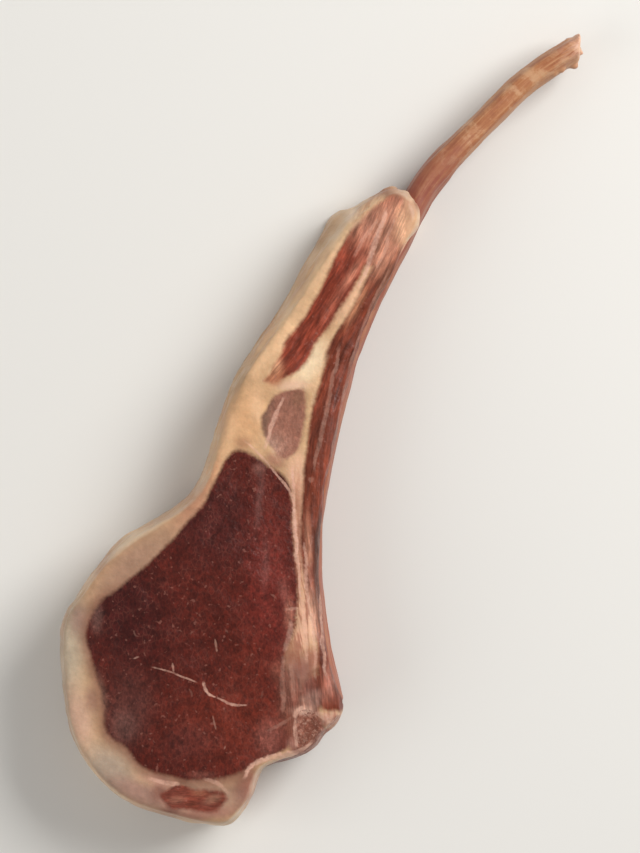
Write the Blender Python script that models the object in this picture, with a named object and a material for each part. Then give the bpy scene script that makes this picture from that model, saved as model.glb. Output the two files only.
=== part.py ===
# A raw frenched lamb chop, lying on one cut face with the other cut face up.
# The flat outlines are in millimetres, as the chop lies with its rib pointing up and to the
# right. One empty then turns and places everything, so that the rib points along +Y.

import math

import bmesh
import bpy
import numpy as np
from mathutils import Matrix, Vector

MM = 0.001

# Driving dimensions
EYE_DEPTH = 19 * MM  # thickness of the chop through the eye of the loin
TAIL_DEPTH = 15.5 * MM  # thickness at the tail, where the rib comes out of the meat
DEPTH_EASE = (-18 * MM, 46 * MM)  # stretch over which the thickness falls from eye to tail
CROWN = 0.7 * MM  # the eye muscle's swelling above the cut
WAVES = 0.3 * MM  # unevenness of the cut face
GAP = 0.3 * MM  # clearance between neighbouring tissues
MUSCLE_SLANT = Vector((-1.2, 0.7)) * MM  # how far a muscle drifts between top and bottom
UPRIGHT = Vector((0, 0))  # bones and the muscle along the rib don't drift
FLARE_SIDE = Vector((-0.87, 0.5))  # the fat's outer side, which spreads downward
RIB_TURN = math.radians(32)  # turn that brings the slanted rib along +Y
LATTICE = 4 * MM  # cell of the cut face
CURVE_STEPS = 3  # straight steps between two points of an outline
OVERSHOOT = 2 * MM  # how far a cutter passes the faces that it cuts

# Steps of the blank's side from the bottom up: height as a share of the depth, drop from that
# height, inset from the outline, and share of the flare.
SIDE_STEPS = (
    (0.0, 0.0, 1.0 * MM, 1.0),
    (0.0, -0.9 * MM, 0.15 * MM, 0.95),
    (0.5, 0.0, -0.2 * MM, 0.6),
    (1.0, 2.6 * MM, 0.0, 0.12),
    (1.0, 1.1 * MM, 0.3 * MM, 0.0),
    (1.0, 0.35 * MM, 0.9 * MM, 0.0),
    (1.0, 0.0, 1.7 * MM, 0.0),
)

# Y along the chop, and how far the fat's outer side spreads there: little beside the eye, and
# most in the loose flap near the tail's end
FLARE = (
    (-20, 0.0), (-14, 0.5), (-8.5, 1.3), (-4, 1.0), (6, 1.2), (14, 1.5), (27, 1.5), (33, 2.0),
    (40, 2.3), (46, 3.3), (50, 4.3), (51.3, 4.0), (53, 1.2), (56, 0.3),
)

CHOP = (
    (-10.8, -61.2), (-15.5, -61.5), (-22, -60), (-28.5, -58), (-33.5, -54.7), (-37.3, -50.3),
    (-40.3, -44.5), (-41.5, -37.5), (-42.1, -30), (-41.5, -23.5), (-38.5, -18.7), (-34.5, -13.5),
    (-29, -8.5), (-22, -4.3), (-16.5, 0.5), (-14, 6.5), (-11.8, 13.5), (-9, 20.5), (-5, 27),
    (0, 33.5), (4.5, 40.5), (8.5, 46.5), (12.5, 51.5), (16, 54.5), (19.5, 56.2), (22.4, 55.2),
    (24.3, 52.7), (24.2, 49.6), (22, 46.2), (20.2, 42.6), (16.9, 36.3), (14.3, 31),
    (12.5, 25.5), (10.9, 19.5), (9.5, 13), (8.2, 6.5), (6.8, 0), (5.9, -7), (5.5, -14),
    (6, -21), (7, -28), (8.5, -34.5), (9.7, -38.5), (9.8, -41), (8.2, -43.2), (6.2, -44.9),
    (5, -46.8), (2.5, -48.5), (-1.5, -49.8), (-5, -51.3), (-6.3, -54), (-7.5, -57.2),
)
EYE = (
    (-9, 7.8), (-11.5, 6), (-13.5, 2), (-16.5, -2.8), (-20, -7), (-23.5, -10.8), (-27, -14.3),
    (-31, -17.5), (-34.4, -20), (-36.6, -22.9), (-37.3, -26.8), (-36.3, -31), (-35.2, -35.5),
    (-34.1, -39.7), (-33.9, -43.2), (-32.6, -45.7), (-30, -47.6), (-27.4, -50.5), (-23.5, -52.6),
    (-17, -53.2), (-11.5, -53), (-7.4, -51), (-3.2, -48.2), (-0.5, -45.5), (-0.4, -41),
    (-0.7, -36), (-0.4, -30), (1.3, -25.5), (1.8, -21), (1.5, -16), (1.2, -11), (1, -6),
    (0.6, -1.5), (-1.5, 2.5), (-5, 6),
)
CAP_STRIP = (
    (-4.5, 20.5), (-2.5, 23.5), (-0.3, 27.2), (2.4, 31.5), (5.5, 36.7), (8, 41.7), (10.4, 46.2),
    (13.3, 49.7), (16, 49.3), (16.2, 45.8), (14.2, 41.7), (11.8, 37.3), (8.8, 32.6),
    (6, 28.4), (3.8, 24.2), (1.2, 21.7), (-2, 20.4),
)
ROUND_MUSCLE = (
    (-2.5, 17.7), (0.5, 19.2), (3, 19.2), (3.6, 16.3), (3.2, 12.5), (2.2, 8.8), (0, 6.3),
    (-2, 6.8), (-4.2, 10), (-5, 13.5), (-4.2, 16),
)
HEEL = (
    (-23.4, -56.2), (-20, -54.9), (-15.5, -54.8), (-12, -55.2), (-11, -57), (-13.3, -59),
    (-17.6, -58.8), (-22, -57.7),
)
# The sawn scrap of backbone runs out through the chop's side at its lower right corner.
CHINE = (
    (2.5, -40.4), (4.3, -40.5), (5.6, -42.3), (6.8, -44.5), (8, -48), (5, -51.5),
    (2.8, -50), (1.9, -47.5), (1.4, -45), (1.4, -42.5), (1.7, -41),
)
# The muscle along the rib: its inner points are the seam in the fat, the rest lies outside.
RIB_MUSCLE = (
    (17.6, 46.2), (15.2, 40), (10.8, 31.8), (7.2, 24.5), (4.6, 16), (3.1, 7), (2.3, -3),
    (2.5, -11), (3.0, -16), (3.9, -21), (5.2, -27), (5.5, -32), (6.3, -39.3), (9, -40.4),
    (16, -40), (15, -20),
    (16, 0), (18, 18), (24, 33), (28, 42), (22.5, 45.8),
)
# Stations along the rib: X, Y, half width and half height, and the height of its middle.
RIB = (
    (8.5, -39.2, 1.5, 4.3, 9.0), (6.4, -30, 1.45, 4.5, 9.0), (4.75, -18, 1.35, 4.6, 9.0),
    (4.6, -6, 1.55, 4.7, 8.9), (6.1, 5, 1.8, 4.7, 8.8), (8.3, 15.5, 1.9, 4.7, 8.6),
    (11.1, 26, 1.95, 4.7, 8.3), (15.4, 36.7, 2.05, 4.8, 7.9), (20.4, 47, 2.25, 4.9, 7.6),
    (24.5, 55.5, 2.4, 4.8, 7.5), (29.6, 62.2, 2.3, 4.6, 7.4), (37.2, 69.8, 2.15, 4.4, 7.2),
    (45, 77.3, 2.2, 4.3, 7.0), (54.2, 83.3, 2.15, 4.2, 6.9),
)
RIB_SIDES = 18
RIB_STEPS = 4
RIB_SQUARENESS = 2.4  # 2 is an ellipse, more is squarer
SAW_SLANT = 0.75  # how much further the rib's outer edge runs at its sawn tip
SAW_BEVEL = 0.35 * MM


def colour(hex_code):
    """Turn an sRGB hex colour into the linear values that a shader takes."""
    channels = [int(hex_code[i:i + 2], 16) / 255 for i in (0, 2, 4)]
    linear = [c / 12.92 if c < 0.04045 else ((c + 0.055) / 1.055) ** 2.4 for c in channels]
    return (*linear, 1.0)


def make_material(name, hex_code, roughness):
    material = bpy.data.materials.new(name)
    material.use_nodes = True
    shader = material.node_tree.nodes["Principled BSDF"]
    shader.inputs["Base Color"].default_value = colour(hex_code)
    shader.inputs["Roughness"].default_value = roughness
    shader.inputs["Metallic"].default_value = 0.0
    return material


def curve_point(before, start, end, after, share):
    """Catmull-Rom point between start and end."""
    t2 = share * share
    t3 = t2 * share
    return 0.5 * (2 * start + (end - before) * share
                  + (2 * before - 5 * start + 4 * end - after) * t2
                  + (3 * start - before - 3 * end + after) * t3)


def smooth_loop(points, steps=CURVE_STEPS):
    """Run a closed curve through flat points given in millimetres."""
    corners = [Vector(point) * MM for point in points]
    count = len(corners)
    loop = []
    for i in range(count):
        four = (corners[i - 1], corners[i], corners[(i + 1) % count], corners[(i + 2) % count])
        loop += [curve_point(*four, step / steps) for step in range(steps)]
    area = sum(a.x * b.y - b.x * a.y for a, b in zip(loop, loop[1:] + loop[:1]))
    return loop if area > 0 else loop[::-1]


def outward(loop):
    """Unit normals of a counterclockwise loop."""
    count = len(loop)
    along = [loop[(i + 1) % count] - loop[i - 1] for i in range(count)]
    return [Vector((step.y, -step.x)).normalized() for step in along]


def grown(loop, distance):
    return [point + normal * distance for point, normal in zip(loop, outward(loop))]


def ease(low, high, value):
    share = min(max((value - low) / (high - low), 0.0), 1.0)
    return share * share * (3 - 2 * share)


def depth_at(x, y):
    """Height of the upper cut face above the lower one."""
    depth = EYE_DEPTH + (TAIL_DEPTH - EYE_DEPTH) * ease(*DEPTH_EASE, y)
    reach = ((x + 17 * MM) / (24 * MM)) ** 2 + ((y + 24 * MM) / (34 * MM)) ** 2
    crown = CROWN * max(0.0, 1 - reach) ** 2
    waves = WAVES * math.sin(x / (5 * MM) + 0.7) * math.sin(y / (7 * MM) - 0.4)
    return depth + crown + waves


def flare_at(point, normal):
    along, reaches = zip(*FLARE)
    reach = np.interp(point.y / MM, along, reaches) * MM
    return FLARE_SIDE * float(reach) * max(0.0, normal.dot(FLARE_SIDE))


def add_ring(mesh, loop, heights):
    return [mesh.verts.new((point.x, point.y, z)) for point, z in zip(loop, heights)]


def bridge(mesh, lower, upper):
    count = len(lower)
    for i in range(count):
        j = (i + 1) % count
        mesh.faces.new((lower[i], lower[j], upper[j], upper[i]))


def finish_mesh(mesh, name):
    """Triangulate the flat and curved faces, face them outward and keep the mesh."""
    bmesh.ops.triangulate(mesh, faces=[face for face in mesh.faces if len(face.verts) > 3])
    bmesh.ops.recalc_face_normals(mesh, faces=mesh.faces[:])
    data = bpy.data.meshes.new(name)
    mesh.to_mesh(data)
    mesh.free()
    return data


def cut_lattice(mesh, cap):
    """Cut the top face into cells, so that it can follow the uneven cut."""
    across = [vert.co.x for vert in cap.verts]
    along = [vert.co.y for vert in cap.verts]
    cuts = [(Vector((1, 0, 0)), x) for x in spaced(min(across), max(across))]
    cuts += [(Vector((0, 1, 0)), y) for y in spaced(min(along), max(along))]
    geometry = [cap, *cap.edges, *cap.verts]
    for normal, distance in cuts:
        result = bmesh.ops.bisect_plane(mesh, geom=geometry, dist=MM / 1000,
                                        plane_co=normal * distance, plane_no=normal)
        geometry = list({*result["geom"], *result["geom_cut"]})
    return {item for item in geometry if isinstance(item, bmesh.types.BMVert)}


def spaced(low, high):
    count = round((high - low) / LATTICE)
    return [low + (high - low) * (i + 0.37) / count for i in range(count)]


def blank_mesh():
    """The whole chop without its bones: flat below, rounded at both rims, uneven on top."""
    mesh = bmesh.new()
    outline = smooth_loop(CHOP)
    normals = outward(outline)
    rings = []
    for share, drop, inset, flare in SIDE_STEPS:
        loop = [point - normal * inset + flare_at(point, normal) * flare
                for point, normal in zip(outline, normals)]
        heights = [share * depth_at(point.x, point.y) - drop for point in loop]
        rings.append(add_ring(mesh, loop, heights))
    for lower, upper in zip(rings, rings[1:]):
        bridge(mesh, lower, upper)
    mesh.faces.new(rings[0])
    top = cut_lattice(mesh, mesh.faces.new(rings[-1]))
    for vert in top:
        vert.co.z = depth_at(vert.co.x, vert.co.y)
    return finish_mesh(mesh, "blank")


def plug_mesh(name, outline, growth, slant):
    """A slightly slanted prism through the chop, with the outline of one tissue."""
    mesh = bmesh.new()
    loop = grown(smooth_loop(outline), growth)
    below = [point + slant for point in loop]
    lower = add_ring(mesh, below, [-OVERSHOOT] * len(loop))
    upper = add_ring(mesh, loop, [EYE_DEPTH + OVERSHOOT] * len(loop))
    bridge(mesh, lower, upper)
    mesh.faces.new(lower)
    mesh.faces.new(upper)
    return finish_mesh(mesh, name)


def rib_stations():
    """Centre, half width, half height and middle height at every step along the rib."""
    ends = [Vector(RIB[0]) * 2 - Vector(RIB[1]), Vector(RIB[-1]) * 2 - Vector(RIB[-2])]
    points = [ends[0], *[Vector(station) for station in RIB], ends[1]]
    stations = []
    for i in range(1, len(points) - 2):
        for step in range(RIB_STEPS):
            stations.append(curve_point(*points[i - 1:i + 3], step / RIB_STEPS) * MM)
    return [*stations, points[-2] * MM]


def squared(value):
    return math.copysign(abs(value) ** (2 / RIB_SQUARENESS), value)


def rib_ring(mesh, station, forward, swell, reach, slant):
    """One oval of the rib, swollen by swell and moved along the rib by reach."""
    x, y, half_width, half_height, middle = station
    side = Vector((-forward.y, forward.x))
    ring = []
    for k in range(RIB_SIDES):
        angle = 2 * math.pi * k / RIB_SIDES
        across = (half_width + swell) * squared(math.cos(angle))
        up = (half_height + swell) * squared(math.sin(angle))
        flat = Vector((x, y)) + side * across + forward * (reach + slant * across)
        ring.append(mesh.verts.new((flat.x, flat.y, middle + up)))
    return ring


def rib_mesh(name, growth):
    """The rib, an upright oval swept along its curve to a tip sawn at a slant."""
    mesh = bmesh.new()
    stations = rib_stations()
    last = len(stations) - 1
    rings = []
    for i, station in enumerate(stations):
        ahead = stations[min(i + 1, last)]
        behind = stations[max(i - 1, 0)]
        forward = Vector((ahead[0] - behind[0], ahead[1] - behind[1])).normalized()
        slant = SAW_SLANT * ease(last - RIB_STEPS, last, i)
        reach = {0: -growth, last: growth}.get(i, 0.0)
        rings.append(rib_ring(mesh, station, forward, growth, reach, slant))
    bevelled = (growth - SAW_BEVEL, growth + SAW_BEVEL)
    rings.append(rib_ring(mesh, stations[last], forward, *bevelled, slant))
    for first, second in zip(rings, rings[1:]):
        bridge(mesh, first, second)
    mesh.faces.new(rings[0])
    mesh.faces.new(rings[-1])
    return finish_mesh(mesh, name)


def add_object(name, mesh, parent, material=None):
    item = bpy.data.objects.new(name, mesh)
    bpy.context.scene.collection.objects.link(item)
    item.parent = parent
    if material:
        mesh.materials.append(material)
    return item


def add_cutter(name, mesh, parent):
    cutter = add_object(name, mesh, parent)
    cutter.hide_render = True
    cutter.display_type = "WIRE"
    return cutter


def cut(item, operation, cutter):
    modifier = item.modifiers.new(operation.lower() + " " + cutter.name, "BOOLEAN")
    modifier.operation = operation
    modifier.solver = "EXACT"
    modifier.object = cutter


def centre_on_origin(parent, meshes):
    """Turn the chop along +Y and put the middle of its box's bottom on the origin."""
    turn = Matrix.Rotation(RIB_TURN, 3, "Z")
    corners = [turn @ vert.co for mesh in meshes for vert in mesh.vertices]
    across = [corner.x for corner in corners]
    along = [corner.y for corner in corners]
    parent.rotation_euler.z = RIB_TURN
    parent.location.x = -(min(across) + max(across)) / 2
    parent.location.y = -(min(along) + max(along)) / 2


def build_chop():
    chop = bpy.data.objects.new("chop", None)
    bpy.context.scene.collection.objects.link(chop)
    blank = blank_mesh()
    tissues = (
        ("eye_lean", EYE, MUSCLE_SLANT, "582B29", 0.35),
        ("cap_lean", CAP_STRIP, MUSCLE_SLANT, "74392C", 0.38),
        ("round_lean", ROUND_MUSCLE, MUSCLE_SLANT, "7D594C", 0.4),
        ("heel_lean", HEEL, MUSCLE_SLANT, "8C4A3A", 0.4),
        ("chine_bone", CHINE, UPRIGHT, "B98A76", 0.5),
        ("rib_lean", RIB_MUSCLE, UPRIGHT, "7E3E2F", 0.38),
    )
    fat = add_object("fat_cap", blank.copy(), chop, make_material("lamb_fat", "CDAF86", 0.4))
    for name, outline, slant, hex_code, roughness in tissues:
        shape = add_cutter(name + "_shape", plug_mesh(name, outline, 0.0, slant), chop)
        hole = add_cutter(name + "_hole", plug_mesh(name, outline, GAP, slant), chop)
        material = make_material(name + "_tissue", hex_code, roughness)
        piece = add_object(name, blank.copy(), chop, material)
        cut(piece, "INTERSECT", shape)
        cut(fat, "DIFFERENCE", hole)
    rib_hole = add_cutter("rib_hole", rib_mesh("rib_hole", GAP), chop)
    cut(fat, "DIFFERENCE", rib_hole)
    cut(bpy.data.objects["rib_lean"], "DIFFERENCE", rib_hole)

    rib = rib_mesh("rib_bone", 0.0)
    bone = make_material("rib_bone_surface", "AC7048", 0.45)
    add_object("rib_bone", rib, chop, bone).data.shade_smooth()
    rib.set_sharp_from_angle(angle=math.radians(40))
    centre_on_origin(chop, (blank, rib))


for leftover in list(bpy.data.objects):
    bpy.data.objects.remove(leftover)
build_chop()
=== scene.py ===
import itertools
import math

import bpy
import numpy as np
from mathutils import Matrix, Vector
from mathutils.bvhtree import BVHTree


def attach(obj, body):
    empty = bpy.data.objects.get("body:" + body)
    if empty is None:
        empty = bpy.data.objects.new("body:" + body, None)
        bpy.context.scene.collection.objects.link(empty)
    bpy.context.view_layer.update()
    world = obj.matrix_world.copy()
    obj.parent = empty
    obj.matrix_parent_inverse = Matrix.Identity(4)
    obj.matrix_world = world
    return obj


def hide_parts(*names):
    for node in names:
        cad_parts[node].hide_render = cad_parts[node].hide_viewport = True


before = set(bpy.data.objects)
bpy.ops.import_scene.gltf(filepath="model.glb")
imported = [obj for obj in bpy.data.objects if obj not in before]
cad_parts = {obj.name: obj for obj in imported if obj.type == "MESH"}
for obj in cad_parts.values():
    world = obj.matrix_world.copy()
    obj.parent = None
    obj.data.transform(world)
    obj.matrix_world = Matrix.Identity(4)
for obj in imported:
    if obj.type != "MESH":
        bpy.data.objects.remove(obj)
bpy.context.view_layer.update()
scene = bpy.context.scene
mm = 0.001
bpy.ops.object.select_all(action="DESELECT")

# The outlines are in millimetres, across and along the picture, with the chop slanted as it is
# seen there. The frame has the rib along +Y, so a point is turned and shifted into it.
slant = {"turn": math.radians(32), "origin": (-3.567, -18.557)}

chop = {
    "voxel": 0.36,  # mm, size of the smallest real relief
    "topDepth": 19.0,                      # mm, thickness at the eye
    "muscleDrift": (-1.2, 0.7),            # mm, drift of a muscle from the top to the underside
    "beyond": 2.0,                         # mm, how far past both cut faces the drift is counted
    "seamGap": 0.3,                        # mm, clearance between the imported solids
    "wander": ((0.28, 3.4), (0.06, 1.2)),  # mm aside and mm across, of a muscle's uneven edge
    "smoothAngle": math.radians(50),       # sharper edges than this stay sharp
}

# Each tissue's outline on the upper cut face
outlines = {
    "eye": [(-9, 7.8), (-11.5, 6), (-13.5, 2), (-16.5, -2.8), (-20, -7), (-23.5, -10.8),
            (-27, -14.3), (-31, -17.5), (-34.4, -20), (-36.6, -22.9), (-37.3, -26.8),
            (-36.3, -31), (-35.2, -35.5), (-34.1, -39.7), (-33.9, -43.2), (-32.6, -45.7),
            (-30, -47.6), (-27.4, -50.5), (-23.5, -52.6), (-17, -53.2), (-11.5, -53),
            (-7.4, -51), (-3.2, -48.2), (-0.5, -45.5), (-0.4, -41), (-0.7, -36), (-0.4, -30),
            (1.3, -25.5), (1.8, -21), (1.5, -16), (1.2, -11), (1, -6), (0.6, -1.5), (-1.5, 2.5),
            (-5, 6)],
    "cap": [(-4.5, 20.5), (-2.5, 23.5), (-0.3, 27.2), (2.4, 31.5), (5.5, 36.7), (8, 41.7),
            (10.4, 46.2), (13.3, 49.7), (16, 49.3), (16.2, 45.8), (14.2, 41.7), (11.8, 37.3),
            (8.8, 32.6), (6, 28.4), (3.8, 24.2), (1.2, 21.7), (-2, 20.4)],
    "round": [(-2.5, 17.7), (0.5, 19.2), (3, 19.2), (3.6, 16.3), (3.2, 12.5), (2.2, 8.8),
              (0, 6.3), (-2, 6.8), (-4.2, 10), (-5, 13.5), (-4.2, 16)],
    "heel": [(-23.4, -56.2), (-20, -54.9), (-15.5, -54.8), (-12, -55.2), (-11, -57),
             (-13.3, -59), (-17.6, -58.8), (-22, -57.7)],
    "chine": [(2.5, -40.4), (4.3, -40.5), (5.6, -42.3), (6.8, -44.5), (8, -48), (5, -51.5),
              (2.8, -50), (1.9, -47.5), (1.4, -45), (1.4, -42.5), (1.7, -41)],
    "ribStrip": [(17.6, 46.2), (15.2, 40), (10.8, 31.8), (7.2, 24.5), (4.6, 16), (3.1, 7),
                 (2.3, -3), (2.5, -11), (3, -16), (3.9, -21), (5.2, -27), (5.5, -32),
                 (6.3, -39.3), (9, -40.4), (16, -40), (15, -20), (16, 0), (18, 18), (24, 33),
                 (28, 42), (22.5, 45.8)],
}
upright = ("chine", "ribStrip")
# Thin tissue drawn over the tail's end, painted on and not cut
tailTissue = [(11.4, 44.8), (13.8, 49.8), (16.2, 52.8), (19, 54.8), (21.6, 54.6), (22.2, 50.5),
              (21.8, 46.5), (19, 43), (15.5, 42)]
# Places where lean spreads over the fat beside it: middle, half sizes, turn, mm
spreads = [
    ((0, -44.5), (5.5, 5), 0, 1.7),
    ((2.2, -37.5), (3.4, 5.2), 0, 3.4),
    ((1.2, -12), (1.0, 9), 0, 0.35),
    ((12.5, 38), (2.6, 8), -32, 0.45),
    ((-21, -55.6), (3, 1.4), 10, 0.5),
    ((-12.6, -57.4), (2, 1.4), 0, -0.4),
    ((7.6, 27.5), (1.2, 4), -27, 0.8),
    ((-4.4, 16.2), (1.2, 2), 0, -0.8),
    ((4.6, 36), (1, 6), -32, -0.35),
    ((-0.8, 2.6), (1.6, 3.4), 35, 0.9),
    ((-0.4, 28.6), (1, 2), -32, 0.5),
    ((-21.8, -58.4), (2, 1.1), 8, 0.8),
    ((-20.2, -54.5), (1.8, 1), 0, 0.7),
    ((9.9, 30), (0.9, 3.4), -28, 0.45),
    ((-3.9, 22.2), (0.9, 1.2), 0, -0.7),
    ((0.6, 19.4), (2, 0.6), 0, -0.5),
]
# Bare muscle and bone where the chop was sawn off the backbone: place in mm, turn in degrees,
# the heights between which it ends at the top, how far it spreads and how ragged it is
sawnSide = {"middle": (2, -49), "half": (8.5, 3.6), "turn": 22, "top": (16.2, 17.3),
            "spread": 3.6, "ragged": 1.3}


def catmull(points, closed, steps=4):
    # A smooth curve through the points
    corners = np.array(points, float)
    if closed:
        ring = np.concatenate([corners[-1:], corners, corners[:2]])
    else:
        ring = np.concatenate([2 * corners[:1] - corners[1:2], corners,
                               2 * corners[-1:] - corners[-2:-1]])
    line = []
    for a, b, c, d in zip(ring[:-3], ring[1:-2], ring[2:-1], ring[3:]):
        for t in np.arange(steps) / steps:
            line.append(0.5 * (2 * b + (c - a) * t + (2 * a - 5 * b + 4 * c - d) * t * t
                               + (3 * b - a - 3 * c + d) * t ** 3))
    if not closed:
        line.append(corners[-1])
    return np.array(line)


def lineDistance(places, line, closed=False):
    # Distance from each flat place to the nearest point of a line
    starts = line if closed else line[:-1]
    ends = np.roll(line, -1, axis=0) if closed else line[1:]
    best = np.full(len(places), 1e9)
    for start, span in zip(starts, ends - starts):
        offset = places - start
        share = np.clip((offset @ span) / max((span ** 2).sum(), 1e-9), 0, 1)
        best = np.minimum(best, np.hypot(*(offset - share[:, None] * span).T))
    return best


def insideLoop(places, loop):
    inside = np.zeros(len(places), bool)
    for (x1, y1), (x2, y2) in zip(loop, np.roll(loop, -1, axis=0)):
        crosses = (y1 > places[:, 1]) != (y2 > places[:, 1])
        atX = (x2 - x1) * (places[:, 1] - y1) / (y2 - y1 + 1e-12) + x1
        inside ^= crosses & (places[:, 0] < atX)
    return inside


def signedDepth(places, loop):
    # Positive inside the loop
    reach = lineDistance(places, loop, closed=True)
    return np.where(insideLoop(places, loop), reach, -reach)


def ease(low, high, values):
    # 0 at low to 1 at high, with soft ends
    share = np.clip((values - low) / (high - low), 0, 1)
    return share * share * (3 - 2 * share)


def patchShare(places, middle, size, turn):
    # 1 at the middle of a soft-edged oval, 0 well outside it
    turn = math.radians(turn)
    away = places[:, :2] - np.array(middle)
    across = away[:, 0] * math.cos(turn) + away[:, 1] * math.sin(turn)
    along = away[:, 1] * math.cos(turn) - away[:, 0] * math.sin(turn)
    return np.exp(-((across / size[0]) ** 2 + (along / size[1]) ** 2) ** 1.5)


def mixRows(first, second, share):
    return first + (second - first) * np.asarray(share)[:, None]


def softNoise(points, size, seed):
    # Smooth random values from -1 to 1 that change over about size millimetres
    spots = points / size + 31.7 * seed
    cells = np.floor(spots).astype(np.int64)
    share = spots - cells
    share = share * share * (3 - 2 * share)
    total = np.zeros(len(points))
    for corner in itertools.product((0, 1), repeat=3):
        key = cells + corner
        mixed = key[:, 0] * 73856093 ^ key[:, 1] * 19349663 ^ key[:, 2] * 83492791
        mixed = (mixed ^ (mixed >> 13)) * 1274126177 & 0xFFFFFFFF
        mixed = (mixed ^ (mixed >> 16)) & 0xFFFF
        weight = np.prod(np.where(corner, share, 1 - share), axis=1)
        total += weight * (mixed / 32767.5 - 1)
    return total


def toSlanted(points):
    # Frame metres to slanted millimetres
    turn = slant["turn"]
    x = points[:, 0] / mm - slant["origin"][0]
    y = points[:, 1] / mm - slant["origin"][1]
    return np.stack([x * math.cos(turn) + y * math.sin(turn),
                     y * math.cos(turn) - x * math.sin(turn), points[:, 2] / mm], axis=1)


def toFrame(flat, height):
    # Slanted millimetres to frame metres
    turn = slant["turn"]
    x = flat[0] * math.cos(turn) - flat[1] * math.sin(turn) + slant["origin"][0]
    y = flat[0] * math.sin(turn) + flat[1] * math.cos(turn) + slant["origin"][1]
    return Vector((x * mm, y * mm, height * mm))


def readPoints(mesh):
    values = np.empty(len(mesh.vertices) * 3)
    mesh.vertices.foreach_get("co", values)
    return values.reshape(-1, 3)


def readNormals(mesh):
    values = np.empty(len(mesh.vertices) * 3)
    mesh.vertex_normals.foreach_get("vector", values)
    return values.reshape(-1, 3)


def writePoints(mesh, points):
    mesh.vertices.foreach_set("co", points.ravel())
    mesh.update()


def store(mesh, name, values, kind="FLOAT"):
    # A number, a vector or a colour for each point of a mesh
    field = {"FLOAT": "value", "FLOAT_VECTOR": "vector", "FLOAT_COLOR": "color"}[kind]
    if kind == "FLOAT_COLOR":
        values = np.concatenate([values, np.ones((len(values), 1))], axis=1)
    layer = mesh.attributes.new(name, kind, "POINT")
    layer.data.foreach_set(field, np.asarray(values, np.float32).ravel())


def linear(hexCode):
    # sRGB hex to the linear values that shaders work in
    channels = [int(hexCode[i:i + 2], 16) / 255 for i in (0, 2, 4)]
    return np.array([c / 12.92 if c < 0.04045 else ((c + 0.055) / 1.055) ** 2.4
                     for c in channels])


def selectOnly(*pieces):
    bpy.ops.object.select_all(action="DESELECT")
    for piece in pieces:
        piece.select_set(True)
    bpy.context.view_layer.objects.active = pieces[0]


def addObject(name, data):
    piece = bpy.data.objects.new(name, data)
    scene.collection.objects.link(piece)
    return piece


def copyNode(nodeName, pieceName):
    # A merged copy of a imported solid, which itself stays as it is
    piece = addObject(pieceName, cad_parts[nodeName].data.copy())
    piece.data.materials.clear()
    selectOnly(piece)
    bpy.ops.object.mode_set(mode="EDIT")
    bpy.ops.mesh.select_all(action="SELECT")
    bpy.ops.mesh.remove_doubles(threshold=0.001 * mm)
    bpy.ops.object.mode_set(mode="OBJECT")
    return piece


def applyModifier(piece, kind, **settings):
    selectOnly(piece)
    modifier = piece.modifiers.new(kind.lower(), kind)
    for key, value in settings.items():
        setattr(modifier, key, value)
    bpy.ops.object.modifier_apply(modifier=modifier.name)


def driftAt(height):
    share = (chop["topDepth"] + chop["beyond"] - height) / (chop["topDepth"] + 2 * chop["beyond"])
    return np.multiply.outer(share, np.array(chop["muscleDrift"]))


loops = {name: catmull(points, closed=True) for name, points in outlines.items()}


def buildPlug(name):
    # A prism through the whole chop with the tissue's outline, half a gap wider all round
    loop = loops[name]
    ahead = np.roll(loop, -1, axis=0) - np.roll(loop, 1, axis=0)
    outward = np.stack([ahead[:, 1], -ahead[:, 0]], axis=1)
    outward /= np.hypot(*outward.T)[:, None]
    area = (loop[:, 0] * np.roll(loop[:, 1], -1) - loop[:, 1] * np.roll(loop[:, 0], -1)).sum()
    wide = loop + outward * chop["seamGap"] / 2 * np.sign(area)
    bpy.ops.mesh.primitive_circle_add(vertices=len(wide), fill_type="NGON")
    plug = bpy.context.object
    plug.name = name + "Plug"
    bpy.ops.object.mode_set(mode="EDIT")
    bpy.ops.mesh.extrude_region_move(TRANSFORM_OT_translate={"value": (0, 0, 1)})
    bpy.ops.object.mode_set(mode="OBJECT")
    low, high = -2 * chop["beyond"], chop["topDepth"] + 2 * chop["beyond"]
    drift = {height: np.zeros(2) if name in upright else driftAt(height)
             for height in (low, high)}
    for vertex in plug.data.vertices:
        height = high if vertex.index >= len(wide) else low
        point = wide[vertex.index % len(wide)] + drift[height]
        vertex.co = toFrame(point, height)
    bpy.ops.object.mode_set(mode="EDIT")
    bpy.ops.mesh.select_all(action="SELECT")
    bpy.ops.mesh.quads_convert_to_tris()
    bpy.ops.mesh.normals_make_consistent(inside=False)
    bpy.ops.object.mode_set(mode="OBJECT")
    return plug


def leanDepths(points):
    # How deep each point lies inside each tissue's outline, with the wandering edge of real
    # muscle: the place that is looked up is pushed about by a slow and a quick noise
    slow, quick = chop["wander"]
    wander = np.stack([slow[0] * softNoise(points, slow[1], seed)
                       + quick[0] * softNoise(points, quick[1], seed + 5)
                       for seed in (1, 2)], axis=1)
    places = points[:, :2] + wander
    drifted = places - driftAt(points[:, 2])
    return {name: signedDepth(places if name in upright else drifted, loop)
            for name, loop in loops.items()}


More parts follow.
